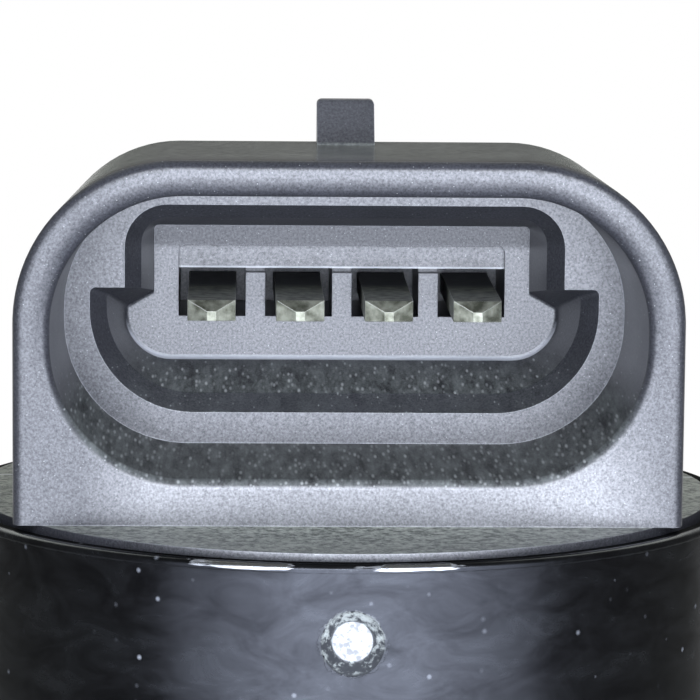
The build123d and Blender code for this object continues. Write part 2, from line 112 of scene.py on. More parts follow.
def linear(hex_colour):
    """A colour written as sRGB hex, as the linear values that a shader takes."""
    parts = [int(hex_colour[i:i + 2], 16) / 255 for i in (1, 3, 5)]
    return [p / 12.92 if p <= 0.04045 else ((p + 0.055) / 1.055) ** 2.4 for p in parts] + [1.0]


skin = add_node(tree, "MixRGB", {"Color1": linear("#86888b"), "Color2": linear("#b4b6b8")}, {"Fac": flow})
pit_dull = add_node(tree, "MapRange", {"To Min": 0.38, "To Max": 0.6}, {"Value": pits})


def mm(size):
    """Millimetres in the scene's metres."""
    return size / 1000


rough_skin = add_node(tree, "Bump", {"Strength": 0.5, "Distance": mm(0.03)}, {"Height": pits})
link(tree, shader, {"Base Color": skin, "Roughness": pit_dull, "Normal": rough_skin})


def dress(finish, *names):
    """Give these pieces of the frame their finish."""
    for name in names:
        slots = nodes[name].data.materials
        slots.clear()
        slots.append(finish)


dress(cast, "front_housing")


# O-ring and cap seal: rubber rings, one in the pilot's groove and one in the groove of the cap's plug.
# Both are moulded, trimmed of their flash and stretched into their grooves.

# Nitrile rubber: near black, with a dull grey bloom and a fine mould grain.
rubber, tree, shader, place = new_finish("nitrile_rubber", {"Roughness": 0.62, "Specular IOR Level": 0.35})
bloom = add_node(tree, "TexNoise", {"Scale": per_mm(2.5), "Detail": 4}, {"Vector": place})
black = add_node(tree, "MixRGB", {"Color1": linear("#161617"), "Color2": linear("#2b2c2e")}, {"Fac": bloom})
mould_grain = add_node(tree, "TexNoise", {"Scale": per_mm(0.2), "Detail": 2}, {"Vector": place})
grain = add_node(tree, "Bump", {"Strength": 0.35, "Distance": mm(0.015)}, {"Height": mould_grain})
link(tree, shader, {"Base Color": black, "Normal": grain})
dress(rubber, "o_ring", "cap_seal")


# Guide bush, rotor hub and bobbins: the moulded plastics inside the valve.
# The bush is pressed into the pilot, the hub turns in the two bearing bushes, and the bobbins carry the
# windings. Bush and hub are natural acetal, and the bobbins are nylon filled with glass.

def moulded(name, dark, light, roughness):
    """A moulded plastic: faint flow clouds and a fine satin grain."""
    finish, tree, shader, place = new_finish(name, {"Roughness": roughness})
    clouds = add_node(tree, "TexNoise", {"Scale": per_mm(3), "Detail": 3}, {"Vector": place})
    tone = add_node(tree, "MixRGB", {"Color1": linear(dark), "Color2": linear(light)}, {"Fac": clouds})
    grit = add_node(tree, "TexNoise", {"Scale": per_mm(0.15), "Detail": 2}, {"Vector": place})
    satin = add_node(tree, "Bump", {"Strength": 0.25, "Distance": mm(0.01)}, {"Height": grit})
    link(tree, shader, {"Base Color": tone, "Normal": satin})
    return finish


# Acetal is waxy and off-white, and glass-filled nylon is tan and drier.
acetal = moulded("natural_acetal", dark="#cfcabb", light="#e2decf", roughness=0.42)
dress(acetal, "guide_bush", "rotor_hub")
tan_nylon = moulded("tan_glass_filled_nylon", dark="#8f8468", light="#ab9f82", roughness=0.55)
dress(tan_nylon, "bobbin_1", "bobbin_2")


# Bearing bushes: bronze powder, pressed, sintered and soaked in oil.
# One sits in the housing and one in the cap, and the rotor's journals run in them.

# Sintered bronze: brown gold, blotched by oil. Its pores are drawn coarser than they are, so that they show.
bronze, tree, shader, place = new_finish("sintered_bronze", {"Metallic": 1.0, "Roughness": 0.48})
oil = add_node(tree, "TexNoise", {"Scale": per_mm(2), "Detail": 3}, {"Vector": place})
oily = add_node(tree, "MixRGB", {"Color1": linear("#8a6a3c"), "Color2": linear("#b98f55")}, {"Fac": oil})
pores = add_node(tree, "TexVoronoi", {"Scale": per_mm(0.18)}, {"Vector": place})
porous = add_node(tree, "Bump", {"Strength": 0.4, "Distance": mm(0.02)}, {"Height": pores})
link(tree, shader, {"Base Color": oily, "Normal": porous})
dress(bronze, "front_bush", "rear_bush")


# Rotor magnet: a ring of ferrite powder bonded with nylon, moulded on the hub and ground to size.
# Its poles follow one another round the ring, and the stator's claws pull them along.

# Bonded ferrite: dark grey and faintly sparkling. Its crystals are drawn far coarser than they are.
ferrite, tree, shader, place = new_finish("bonded_ferrite", {"Roughness": 0.5, "Metallic": 0.3})
crystals = add_node(tree, "TexNoise", {"Scale": per_mm(0.25), "Detail": 3}, {"Vector": place})
sparkle = add_node(tree, "MixRGB", {"Color1": linear("#2a2b2d"), "Color2": linear("#56585b")},
                   {"Fac": crystals})
link(tree, shader, {"Base Color": sparkle})
dress(ferrite, "rotor_magnet")


# Stator: two windings of enamelled copper, each between a pair of claw-pole plates pressed from soft steel.
# The plates are stacked in the can and the windings are wound straight on the bobbins.
WIRE_D = 0.3
WAVE_AT_SCALE_1 = math.tau / 20    # how long one wave of the wave texture is before it is scaled

# Enamelled copper wire: orange-brown and glossy, ribbed by its turns.
copper, tree, shader, place = new_finish("enamelled_copper_wire", {"Metallic": 1.0, "Roughness": 0.3})
turns = add_node(tree, "TexWave", {"bands_direction": "Z", "Scale": WAVE_AT_SCALE_1 * per_mm(WIRE_D)},
                 {"Vector": place}).outputs["Fac"]
enamel = add_node(tree, "MixRGB", {"Color1": linear("#7a3b18"), "Color2": linear("#c8743c")}, {"Fac": turns})
wires = add_node(tree, "Bump", {"Strength": 0.8, "Distance": mm(WIRE_D / 4)}, {"Height": turns})
link(tree, shader, {"Base Color": enamel, "Normal": wires})
dress(copper, "coil_1", "coil_2")

# Pressed soft steel: plain grey, with the faint clouds of rolled sheet.
pressed, tree, shader, place = new_finish("pressed_soft_steel", {"Metallic": 1.0, "Roughness": 0.42})
rolled_sheet = add_node(tree, "TexNoise", {"Scale": per_mm(1.2), "Detail": 4}, {"Vector": place})
plate = add_node(tree, "MixRGB", {"Color1": linear("#7d7e80"), "Color2": linear("#a6a7a8")},
                 {"Fac": rolled_sheet})
link(tree, shader, {"Base Color": plate})
dress(pressed, "lower_pole_plate_1", "upper_pole_plate_1", "lower_pole_plate_2", "upper_pole_plate_2")


# Lead screw, pintle and the rotor's washers: a steel shaft with an aluminium head, and two steel washers,
# all turned on a lathe. The pintle is pressed on the shaft's spigot and closes the bypass port.
# The washers lie loose at the rotor's two shoulders.

def turned(name, dark, light, roughness, ring_pitch):
    """A lathe-turned metal: bright, with the tool's fine rings about the valve's axis."""
    finish, tree, shader, place = new_finish(name, {"Metallic": 1.0})
    tool = add_node(tree, "TexWave", {"bands_direction": "Z", "Scale": WAVE_AT_SCALE_1 * per_mm(ring_pitch),
                                      "Distortion": 0.4, "Detail": 2}, {"Vector": place}).outputs["Fac"]
    patches = add_node(tree, "TexNoise", {"Scale": per_mm(2.2), "Detail": 4}, {"Vector": place})
    tone = add_node(tree, "MixRGB", {"Color1": linear(dark), "Color2": linear(light)}, {"Fac": patches})
    dull = add_node(tree, "MapRange", {"To Min": roughness - 0.08, "To Max": roughness + 0.1},
                    {"Value": patches})
    rings = add_node(tree, "Bump", {"Strength": 0.3, "Distance": mm(ring_pitch / 10)}, {"Height": tool})
    link(tree, shader, {"Base Color": tone, "Roughness": dull, "Normal": rings})
    return finish


# The tool marks of the real pieces are about 0.1 mm apart, drawn a little coarser here so that they show.
turned_steel = turned("turned_steel", dark="#8d8f92", light="#b9bbbd", roughness=0.3, ring_pitch=0.22)
dress(turned_steel, "lead_screw", "thrust_washer", "spring_washer")
turned_aluminium = turned("turned_aluminium", dark="#a3a5a8", light="#cbcccd", roughness=0.34,
                          ring_pitch=0.28)
dress(turned_aluminium, "pintle")


# Return spring: round steel wire wound to a cone between the pilot and the pintle's collar.
# It takes up the play of the screw, and stretches and closes as the pintle slides.
SPRING_WIRE_R = mm(0.5)
SPRING_WIRE_SIDES = 16
SPRING_TURNS = 3.5
SPRING_STEPS_PER_TURN = 40
SPRING_TOP_R = mm(7.2)
SPRING_FOOT_R = mm(6.0)
spring_low, spring_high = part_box("return_spring")
spring_rise = spring_high.z - spring_low.z - 2 * SPRING_WIRE_R
bpy.ops.object.select_all(action="DESELECT")
bpy.ops.mesh.primitive_circle_add(vertices=SPRING_WIRE_SIDES, radius=SPRING_WIRE_R,
                                  rotation=(math.pi / 2, 0, 0),
                                  location=(SPRING_FOOT_R, 0, spring_low.z + SPRING_WIRE_R))
spring = bpy.context.object
spring.name = "return_spring_wire"
bpy.ops.object.transform_apply(location=True, rotation=True, scale=True)
winding = spring.modifiers.new("winding", "SCREW")
winding.angle = SPRING_TURNS * math.tau
winding.screw_offset = spring_rise
winding.steps = winding.render_steps = int(SPRING_TURNS * SPRING_STEPS_PER_TURN)
winding.use_merge_vertices = False
bpy.ops.object.modifier_apply(modifier=winding.name)
# The wound wire is widened towards its top, which makes the cone.
for vertex in spring.data.vertices:
    share = (vertex.co.z - spring_low.z - SPRING_WIRE_R) / spring_rise
    reach = math.hypot(vertex.co.x, vertex.co.y)
    vertex.co.xy *= 1 + share * (SPRING_TOP_R - SPRING_FOOT_R) / reach
bpy.ops.object.mode_set(mode="EDIT")
bpy.ops.mesh.select_all(action="SELECT")
bpy.ops.mesh.fill_holes(sides=0)
bpy.ops.mesh.normals_make_consistent(inside=False)
bpy.ops.object.mode_set(mode="OBJECT")
bpy.ops.object.shade_smooth_by_angle(angle=math.radians(50))

# Drawn spring steel: grey-blue, and brighter in patches where the die has rubbed it.
drawn_wire, tree, shader, place = new_finish("drawn_spring_steel", {"Metallic": 1.0})
die_marks = add_node(tree, "TexNoise", {"Scale": per_mm(0.8), "Detail": 5}, {"Vector": place})
blued = add_node(tree, "MixRGB", {"Color1": linear("#6c7076"), "Color2": linear("#9da0a4")},
                 {"Fac": die_marks})
wire_dull = add_node(tree, "MapRange", {"To Min": 0.24, "To Max": 0.42}, {"Value": die_marks})
link(tree, shader, {"Base Color": blued, "Roughness": wire_dull})
spring.data.materials.append(drawn_wire)
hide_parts("return_spring")
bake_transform(spring)


# Motor can: deep-drawn steel tube over the stator, dipped in gloss black enamel before assembly.
# Punched stakes then drive its wall into the housing and the cap; each leaves a bare bright floor in a ring
# of crazed paint. The rim's lip has bright bare streaks, partly handling wear and partly painted highlight,
# and dust and wipe marks lie on the gloss.
STAKE_INSET = mm(3.3)
STAKE_FLOOR_R = mm(0.85)
STAKE_MOUTH_R = mm(1.375)
can_low, can_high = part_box("motor_can")
enamel_can, tree, shader, place = new_finish("gloss_black_enamel_on_steel",
                                             {"Specular Tint": linear("#edf2ff")})
can_x, can_y, can_z = add_node(tree, "SeparateXYZ", {}, {0: place}).outputs
# How far each point is from the nearest stake: four near the rim, four near the flange turned by an eighth.
stake_reach = []
stake_height = []
for middle_z, eighth in ((can_high.z - STAKE_INSET, 0), (can_low.z + STAKE_INSET, math.pi / 4)):
    turn = add_node(tree, "Mapping", {"Location": (0, 0, -middle_z), "Rotation": (0, 0, eighth)},
                    {"Vector": place})
    from_x, from_y, from_z = add_node(tree, "SeparateXYZ", {}, {0: turn}).outputs
    along_x = add_node(tree, "Math", {"operation": "ABSOLUTE"}, {0: from_x})
    along_y = add_node(tree, "Math", {"operation": "ABSOLUTE"}, {0: from_y})
    aside = add_node(tree, "Math", {"operation": "MINIMUM"}, {0: along_x, 1: along_y})
    on_wall = add_node(tree, "CombineXYZ", {}, {0: aside, 1: from_z})
    stake_height.append(from_z)
    stake_reach.append(add_node(tree, "VectorMath", {"operation": "LENGTH"}, {0: on_wall}).outputs["Value"])
nearest = add_node(tree, "Math", {"operation": "MINIMUM"}, {0: stake_reach[0], 1: stake_reach[1]})
# The paint breaks in chips, so the stake's floor and mouth have ragged edges.
CHIP_REACH = mm(0.7)
CRAZE_EDGE = mm(0.06)
chips = add_node(tree, "TexNoise", {"Scale": per_mm(0.4), "Detail": 4, "Roughness": 0.7}, {"Vector": place})
ragged = add_node(tree, "Math", {"operation": "MULTIPLY_ADD", 1: CHIP_REACH, 2: -0.5 * CHIP_REACH},
                  {0: chips})
torn = add_node(tree, "Math", {"operation": "ADD"}, {0: nearest, 1: ragged})
crazed = add_node(tree, "MapRange", {"From Min": STAKE_MOUTH_R + CRAZE_EDGE,
                                     "From Max": STAKE_MOUTH_R - CRAZE_EDGE}, {"Value": torn})
struck = add_node(tree, "MapRange", {"From Min": STAKE_FLOOR_R + CRAZE_EDGE / 3,
                                     "From Max": STAKE_FLOOR_R - CRAZE_EDGE}, {"Value": torn})
flake = add_node(tree, "MapRange", {"From Min": 0.4, "From Max": 0.62}, {"Value": chips})
# A rim stake's wall is paler above its floor, with only a few pale flakes below it.
PAINT_LOSS_REACH = mm(1.2)
paler_above_floor = add_node(tree, "MapRange", {"From Min": -PAINT_LOSS_REACH, "From Max": PAINT_LOSS_REACH,
                                       "To Min": -0.06, "To Max": 0.06}, {"Value": stake_height[0]})
chips_paler_above = add_node(tree, "Math", {"operation": "ADD"}, {0: chips, 1: paler_above_floor})
lost_paint = add_node(tree, "MapRange", {"From Min": 0.46, "From Max": 0.62}, {"Value": chips_paler_above})
flaked = add_node(tree, "MixRGB", {"Color1": linear("#3a3c3f"), "Color2": linear("#b9bfbc")},
                  {"Fac": lost_paint})
struck_steel = add_node(tree, "MixRGB", {"Color1": linear("#8f9193"), "Color2": linear("#e4e5e6")},
                        {"Fac": flake})
steel = add_node(tree, "MixRGB", {}, {"Fac": struck, "Color1": flaked, "Color2": struck_steel})
# The rim: bright bare streaks, partly wear and partly painted highlight, two on the front of its rounded lip
# and two on the back, by middle and half length.
LIP_R = mm(0.3)
RIM_STREAKS = ((mm(-4.6), mm(4.0)), (mm(2.3), mm(3.8)))
STREAK_FADE = mm(3)
CAN_R = can_high.x
lip = add_node(tree, "MapRange", {"From Min": can_high.z - LIP_R, "From Max": can_high.z - 0.8 * LIP_R},
               {"Value": can_z})
streaks = []
for middle_x, half in RIM_STREAKS:
    from_streak = add_node(tree, "Math", {"operation": "SUBTRACT", 1: middle_x}, {0: can_x})
    off_streak = add_node(tree, "Math", {"operation": "ABSOLUTE"}, {0: from_streak})
    streaks.append(add_node(tree, "MapRange", {"From Min": half, "From Max": half - STREAK_FADE},
                            {"Value": off_streak}))
in_streak = add_node(tree, "Math", {"operation": "MAXIMUM"}, {0: streaks[0], 1: streaks[1]})
tapered = add_node(tree, "Math", {"operation": "POWER", 1: 2.5}, {0: in_streak})
rim_plan = add_node(tree, "CombineXYZ", {}, {0: can_x, 1: can_y})
rim_r = add_node(tree, "VectorMath", {"operation": "LENGTH"}, {0: rim_plan}).outputs["Value"]
outer = add_node(tree, "MapRange", {"From Min": CAN_R - LIP_R, "From Max": CAN_R - 0.6 * LIP_R},
                 {"Value": rim_r})
outer_lip = add_node(tree, "Math", {"operation": "MULTIPLY"}, {0: lip, 1: outer})
lip_wear_and_highlight = add_node(tree, "Math", {"operation": "MULTIPLY"}, {0: outer_lip, 1: tapered})
rubbing = add_node(tree, "TexNoise", {"Scale": per_mm(3), "Detail": 3, "Roughness": 0.6}, {"Vector": place})
rubbed = add_node(tree, "MapRange", {"From Min": 0.32, "From Max": 0.52}, {"Value": rubbing})
rub = add_node(tree, "Math", {"operation": "MULTIPLY"}, {0: lip_wear_and_highlight, 1: rubbed})
# Each streak breaks up at its ends into fine scratches that run round the rim.
round_rim = add_node(tree, "Mapping", {"Scale": (0.12, 0.12, 1.0)}, {"Vector": place})
scratches = add_node(tree, "TexNoise", {"Scale": per_mm(0.1), "Detail": 3}, {"Vector": round_rim})
scratched = add_node(tree, "Math", {"operation": "MULTIPLY_ADD", 1: 0.9, 2: -0.45}, {0: scratches})
rub_and_scratch = add_node(tree, "Math", {"operation": "ADD"}, {0: rub, 1: scratched})
wear_and_highlight = add_node(tree, "MapRange", {"From Min": 0.3, "From Max": 0.45}, {"Value": rub_and_scratch})
bare = add_node(tree, "Math", {"operation": "MAXIMUM"}, {0: struck, 1: wear_and_highlight})
# Painted shade: behind the lip, in the gap to the cap, the gloss is taken away.
inner = add_node(tree, "Math", {"operation": "SUBTRACT", 0: 1.0}, {1: outer})
gap_shade = add_node(tree, "Math", {"operation": "MULTIPLY"}, {0: lip, 1: inner})
gloss_left = add_node(tree, "MapRange", {"To Min": 1.0, "To Max": 0.05}, {"Value": gap_shade})
gap_shade_dull = add_node(tree, "Math", {"operation": "MULTIPLY", 1: 0.8}, {0: gap_shade})
# Dust: a speck where a scattered point happens to lie in the surface; most are faint and few are bright.
DUST_SPACING = 0.8
DUST_R = 0.14
scatter = add_node(tree, "TexVoronoi", {"Scale": per_mm(DUST_SPACING)}, {"Vector": place})
speck = add_node(tree, "MapRange", {"From Min": DUST_R / DUST_SPACING, "From Max": 0.0},
                 {"Value": scatter.outputs["Distance"]})
strength = add_node(tree, "SeparateColor", {}, {0: scatter.outputs["Color"]})
rarity = add_node(tree, "Math", {"operation": "POWER", 1: 7.0}, {0: strength})
seen_speck = add_node(tree, "Math", {"operation": "MULTIPLY"}, {0: speck, 1: rarity})
# Wipe marks: a thin grey haze in slanting clouds, which leaves the gloss uneven.
slant = add_node(tree, "Mapping", {"Rotation": (0, math.radians(40), 0), "Scale": (1.0, 1.0, 2.2)},
                 {"Vector": place})
haze = add_node(tree, "TexNoise", {"Scale": per_mm(3), "Detail": 6, "Roughness": 0.65, "Distortion": 0.8},
                {"Vector": slant})
hazy = add_node(tree, "MapRange", {"From Min": 0.45, "From Max": 0.85}, {"Value": haze})
paint = add_node(tree, "MixRGB", {"Color1": linear("#060607"), "Color2": linear("#111214")}, {"Fac": hazy})
smudged = add_node(tree, "MapRange", {"From Min": 0.35, "From Max": 0.7, "To Min": 0.48, "To Max": 0.98},
                   {"Value": haze})
can_gloss = add_node(tree, "Math", {"operation": "MULTIPLY"}, {0: smudged, 1: gloss_left})
# Paint, specks, chips and bare streaks, one over the other.
dusty = add_node(tree, "MixRGB", {"Color2": linear("#a4a8b0")}, {"Fac": seen_speck, "Color1": paint})
scarred = add_node(tree, "MixRGB", {}, {"Fac": crazed, "Color1": dusty, "Color2": steel})
can_tone = add_node(tree, "MixRGB", {"Color2": linear("#d4d6da")}, {"Fac": wear_and_highlight, "Color1": scarred})
paint_dull = add_node(tree, "MapRange", {"To Min": 0.14, "To Max": 0.36}, {"Value": haze})
scar_dull = add_node(tree, "MapRange", {"To Min": 0.0, "To Max": 0.5}, {"Value": crazed})
can_dull = paint_dull
for spoiled in (seen_speck, scar_dull, gap_shade_dull):
    can_dull = add_node(tree, "Math", {"operation": "MAXIMUM"}, {0: can_dull, 1: spoiled})
orange_peel = add_node(tree, "TexNoise", {"Scale": per_mm(0.9), "Detail": 2}, {"Vector": place})
peel = add_node(tree, "Bump", {"Strength": 0.25, "Distance": mm(0.012)}, {"Height": orange_peel})
flaking = add_node(tree, "Math", {"operation": "MULTIPLY"}, {0: chips, 1: crazed})
scars = add_node(tree, "Bump", {"Strength": 0.5, "Distance": mm(0.06)}, {"Height": flaking, "Normal": peel})
link(tree, shader, {"Base Color": can_tone, "Metallic": bare, "Specular IOR Level": can_gloss,
                    "Roughness": can_dull, "Normal": scars})
dress(enamel_can, "motor_can")

# The rim's rolled lip, drawn finer than the solid's facets: two round beads that stand a hair proud of it.
LIP_PROUD = mm(0.006)
LIP_SIDES = 32
LIP_STEPS = 240
CAN_WALL = mm(0.9)
bpy.ops.object.select_all(action="DESELECT")
beads = []
for bead_r in (CAN_R - LIP_R, CAN_R - CAN_WALL + LIP_R):
    bpy.ops.mesh.primitive_circle_add(vertices=LIP_SIDES, radius=LIP_R + LIP_PROUD,
                                      rotation=(math.pi / 2, 0, 0),
                                      location=(bead_r, 0, can_high.z - LIP_R))
    beads.append(bpy.context.object)
for bead in beads:
    bead.select_set(True)
bpy.ops.object.join()
lip_bead = bpy.context.object
lip_bead.name = "can_lip"
bpy.ops.object.transform_apply(location=True, rotation=True, scale=True)
rolling = lip_bead.modifiers.new("rolling", "SCREW")
rolling.steps = rolling.render_steps = LIP_STEPS
rolling.use_merge_vertices = True
bpy.ops.object.modifier_apply(modifier=rolling.name)
bpy.ops.object.mode_set(mode="EDIT")
bpy.ops.mesh.select_all(action="SELECT")
bpy.ops.mesh.normals_make_consistent(inside=False)
bpy.ops.object.mode_set(mode="OBJECT")
bpy.ops.object.shade_smooth()
lip_bead.data.materials.append(enamel_can)
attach(lip_bead, "housing")


# Connector cap: one moulding of charcoal nylon filled with short glass fibre, staked into the can's end.
# The die's fine-eroded faces give it a frosty sheen where they face the light and leave it dark elsewhere.
# A bright line, partly flash and partly painted highlight, runs along the top of the wells, grit lies on the
# lower walls and dust on the base disc.
BASE_DISC_H = mm(0.25)
BASE_Z = can_high.z + BASE_DISC_H
cap_plastic, tree, shader, place = new_finish("charcoal_glass_filled_nylon",
                                              {"IOR": 1.62, "Specular IOR Level": 0.9})
cap_x, cap_y, cap_z = add_node(tree, "SeparateXYZ", {}, {0: place}).outputs
off_middle = add_node(tree, "Math", {"operation": "ABSOLUTE"}, {0: cap_x})
outward = add_node(tree, "NewGeometry", {}, {}).outputs["Normal"]
facing_x, facing_y, facing_z = add_node(tree, "SeparateXYZ", {}, {0: outward}).outputs
looks_up = add_node(tree, "MapRange", {"From Min": 0.12, "From Max": 0.55}, {"Value": facing_z})
looks_down = add_node(tree, "MapRange", {"From Min": -0.4, "From Max": -0.8, "To Max": 0.7},
                      {"Value": facing_z})
clouds = add_node(tree, "TexNoise", {"Scale": per_mm(3.5), "Detail": 4}, {"Vector": place})
charcoal = add_node(tree, "MixRGB", {"Color1": linear("#323338"), "Color2": linear("#46474d")},
                    {"Fac": clouds})
# The glass fibres are about 0.01 mm thick. Their pattern is drawn ten times coarser, so that it shows.
fibre = add_node(tree, "TexNoise", {"Scale": per_mm(0.11), "Detail": 4, "Roughness": 0.75},
                 {"Vector": place})
fibre_tone = add_node(tree, "MapRange", {"From Min": 0.3, "From Max": 0.7, "To Min": 0.6, "To Max": 1.4},
                      {"Value": fibre})
frost = add_node(tree, "MixRGB", {"blend_type": "MULTIPLY", "Fac": 1.0},
                 {"Color1": charcoal, "Color2": fibre_tone})
# Painted highlight: paler lines where a face that looks to the front ends.
CAP_EDGE_R = mm(0.07)
soft_edges = add_node(tree, "Bevel", {"Radius": CAP_EDGE_R}, {})
turned_away = add_node(tree, "VectorMath", {"operation": "DOT_PRODUCT"}, {0: soft_edges, 1: outward})
near_edge = add_node(tree, "MapRange", {"From Min": 0.995, "From Max": 0.9, "To Max": 0.5},
                     {"Value": turned_away.outputs["Value"]})
to_front = add_node(tree, "MapRange", {"From Min": -0.6, "From Max": -0.9}, {"Value": facing_y})
painted_edge_highlight = add_node(tree, "Math", {"operation": "MULTIPLY"}, {0: near_edge, 1: to_front})
edge_highlighted = add_node(tree, "MixRGB", {"Color2": linear("#cfd2d8")}, {"Fac": painted_edge_highlight, "Color1": frost})
# A bright hair line on the step just above the wells: partly flash, partly painted highlight.
WELL_TOP = BASE_Z + mm(9.57)
WELLS_HALF = mm(7.47)
POCKET_FLOOR_Y = mm(3.3)
LINE_RISE = mm(0.03)
LINE_HALF = mm(0.07)
from_line = add_node(tree, "Math", {"operation": "SUBTRACT", 1: WELL_TOP + LINE_RISE}, {0: cap_z})
off_line = add_node(tree, "Math", {"operation": "ABSOLUTE"}, {0: from_line})
on_line = add_node(tree, "MapRange", {"From Min": LINE_HALF, "From Max": LINE_RISE}, {"Value": off_line})
over_wells = add_node(tree, "Math", {"operation": "LESS_THAN", 1: WELLS_HALF}, {0: off_middle})
in_relief = add_node(tree, "Math", {"operation": "GREATER_THAN", 1: POCKET_FLOOR_Y + mm(0.1)}, {0: cap_y})
on_step = add_node(tree, "Math", {"operation": "MULTIPLY"}, {0: over_wells, 1: in_relief})
flash_and_highlight = add_node(tree, "Math", {"operation": "MULTIPLY"}, {0: on_line, 1: on_step})
flash_highlighted = add_node(tree, "MixRGB", {"Color2": linear("#d6d9dd")}, {"Fac": flash_and_highlight, "Color1": edge_highlighted})
# Dust: a pale, greenish, speckled film on the base disc, thinner towards its rim.
DUST_THICK_R = mm(10.5)
DUST_THIN_R = mm(16.5)
dust_grains = add_node(tree, "TexNoise", {"Scale": per_mm(0.3), "Detail": 3, "Roughness": 0.7},
                       {"Vector": place})
speckle = add_node(tree, "MapRange", {"From Min": 0.38, "From Max": 0.62}, {"Value": dust_grains})
dust = add_node(tree, "MixRGB", {"Color1": linear("#6b706b"), "Color2": linear("#d3d8cf")}, {"Fac": speckle})
on_disc = add_node(tree, "MapRange", {"From Min": BASE_Z + mm(0.12), "From Max": BASE_Z + mm(0.01)},
                   {"Value": cap_z})
disc_plan = add_node(tree, "CombineXYZ", {}, {0: cap_x, 1: cap_y})
disc_r = add_node(tree, "VectorMath", {"operation": "LENGTH"}, {0: disc_plan}).outputs["Value"]
thinning = add_node(tree, "MapRange", {"From Min": DUST_THICK_R, "From Max": DUST_THIN_R, "To Min": 1.0,
                                       "To Max": 0.6}, {"Value": disc_r})
lies_up = add_node(tree, "Math", {"operation": "MULTIPLY"}, {0: on_disc, 1: looks_up})
settled = add_node(tree, "Math", {"operation": "MULTIPLY"}, {0: lies_up, 1: thinning})
dusted = add_node(tree, "MixRGB", {}, {"Fac": settled, "Color1": flash_highlighted, "Color2": dust})
# Grime: dull dirt with pale grit on the lower walls of the mouth and the pocket, drawn out by sliding plugs.
GRIME_LOW = BASE_Z + mm(1)
GRIME_HIGH = BASE_Z + mm(6.6)
LEAD_IN_Y = mm(-1.2)
LEAD_IN_HALF = mm(0.72)
GRIT_SPACING = 0.22
GRIT_R = 0.03
GRIME_GRIT_R = 0.09
over_disc = add_node(tree, "Math", {"operation": "GREATER_THAN", 1: GRIME_LOW}, {0: cap_z})
under_wells = add_node(tree, "MapRange", {"From Min": GRIME_HIGH, "From Max": GRIME_HIGH - mm(2)},
                       {"Value": cap_z})
lying = add_node(tree, "Math", {"operation": "MULTIPLY"}, {0: over_disc, 1: under_wells})
film = add_node(tree, "Math", {"operation": "MULTIPLY"}, {0: lying, 1: looks_up})
# The pocket's lead-in is wiped almost clean by each plug.
from_lead_in = add_node(tree, "Math", {"operation": "SUBTRACT", 1: LEAD_IN_Y}, {0: cap_y})
off_lead_in = add_node(tree, "Math", {"operation": "ABSOLUTE"}, {0: from_lead_in})
wiped = add_node(tree, "MapRange", {"From Min": LEAD_IN_HALF - mm(0.1), "From Max": LEAD_IN_HALF,
                                    "To Min": 0.3}, {"Value": off_lead_in})
grime = add_node(tree, "Math", {"operation": "MULTIPLY"}, {0: film, 1: wiped})
drawn_out = add_node(tree, "Mapping", {"Scale": (1.0, 0.16, 1.0)}, {"Vector": place})
smear = add_node(tree, "TexNoise", {"Scale": per_mm(0.6), "Detail": 5, "Roughness": 0.75},
                 {"Vector": drawn_out})
patchy = add_node(tree, "MapRange", {"From Min": 0.35, "From Max": 0.65}, {"Value": smear})
dirt = add_node(tree, "MixRGB", {"Color1": linear("#26282a"), "Color2": linear("#737877")}, {"Fac": patchy})
grimy = add_node(tree, "MixRGB", {}, {"Fac": grime, "Color1": dusted, "Color2": dirt})
grit = add_node(tree, "TexVoronoi", {"Scale": per_mm(GRIT_SPACING)}, {"Vector": drawn_out})
grit_r = add_node(tree, "MapRange", {"To Min": GRIT_R / GRIT_SPACING, "To Max": GRIME_GRIT_R / GRIT_SPACING},
                  {"Value": grime})
grain_of_grit = add_node(tree, "MapRange", {"From Max": 0.0},
                         {"Value": grit.outputs["Distance"], "From Min": grit_r})
paleness = add_node(tree, "SeparateColor", {}, {0: grit.outputs["Color"]})
seen_grit = add_node(tree, "Math", {"operation": "MULTIPLY"}, {0: grain_of_grit, 1: paleness})
gritty = add_node(tree, "MixRGB", {"Color2": linear("#c3c7c6")}, {"Fac": seen_grit, "Color1": grimy})
# Painted highlight: a bright line on the rounding at the foot of the pocket's lower wall, where it tilts up.
FLOOR_EDGE_R = mm(0.2)
before_floor = add_node(tree, "Math", {"operation": "SUBTRACT", 1: POCKET_FLOOR_Y - 0.5 * FLOOR_EDGE_R},
                        {0: cap_y})
off_edge = add_node(tree, "Math", {"operation": "ABSOLUTE"}, {0: before_floor})
on_rounding = add_node(tree, "MapRange", {"From Min": 0.7 * FLOOR_EDGE_R, "From Max": 0.5 * FLOOR_EDGE_R},
                       {"Value": off_edge})
highlight_tilt = add_node(tree, "MapRange", {"From Min": 0.1, "From Max": 0.4, "To Max": 0.8}, {"Value": facing_z})
painted_rounding_highlight = add_node(tree, "Math", {"operation": "MULTIPLY"}, {0: on_rounding, 1: highlight_tilt})
rounding_highlighted = add_node(tree, "MixRGB", {"Color2": linear("#d6d9df")}, {"Fac": painted_rounding_highlight, "Color1": gritty})
# Painted shade: the wells are darkened, and their sheen is lowered.
WELL_FOOT = BASE_Z + mm(6.9)
WELL_BACK_Y = mm(9.4)
past_floor = add_node(tree, "Math", {"operation": "GREATER_THAN", 1: POCKET_FLOOR_Y + mm(0.25)}, {0: cap_y})
before_back = add_node(tree, "Math", {"operation": "LESS_THAN", 1: WELL_BACK_Y}, {0: cap_y})
over_foot = add_node(tree, "Math", {"operation": "GREATER_THAN", 1: WELL_FOOT}, {0: cap_z})
under_top = add_node(tree, "Math", {"operation": "LESS_THAN", 1: WELL_TOP}, {0: cap_z})
in_well = over_wells
for bound in (past_floor, before_back, over_foot, under_top):
    in_well = add_node(tree, "Math", {"operation": "MULTIPLY"}, {0: in_well, 1: bound})
well_shaded = add_node(tree, "MixRGB", {"Color2": linear("#2e3035")}, {"Fac": in_well, "Color1": rounding_highlighted})
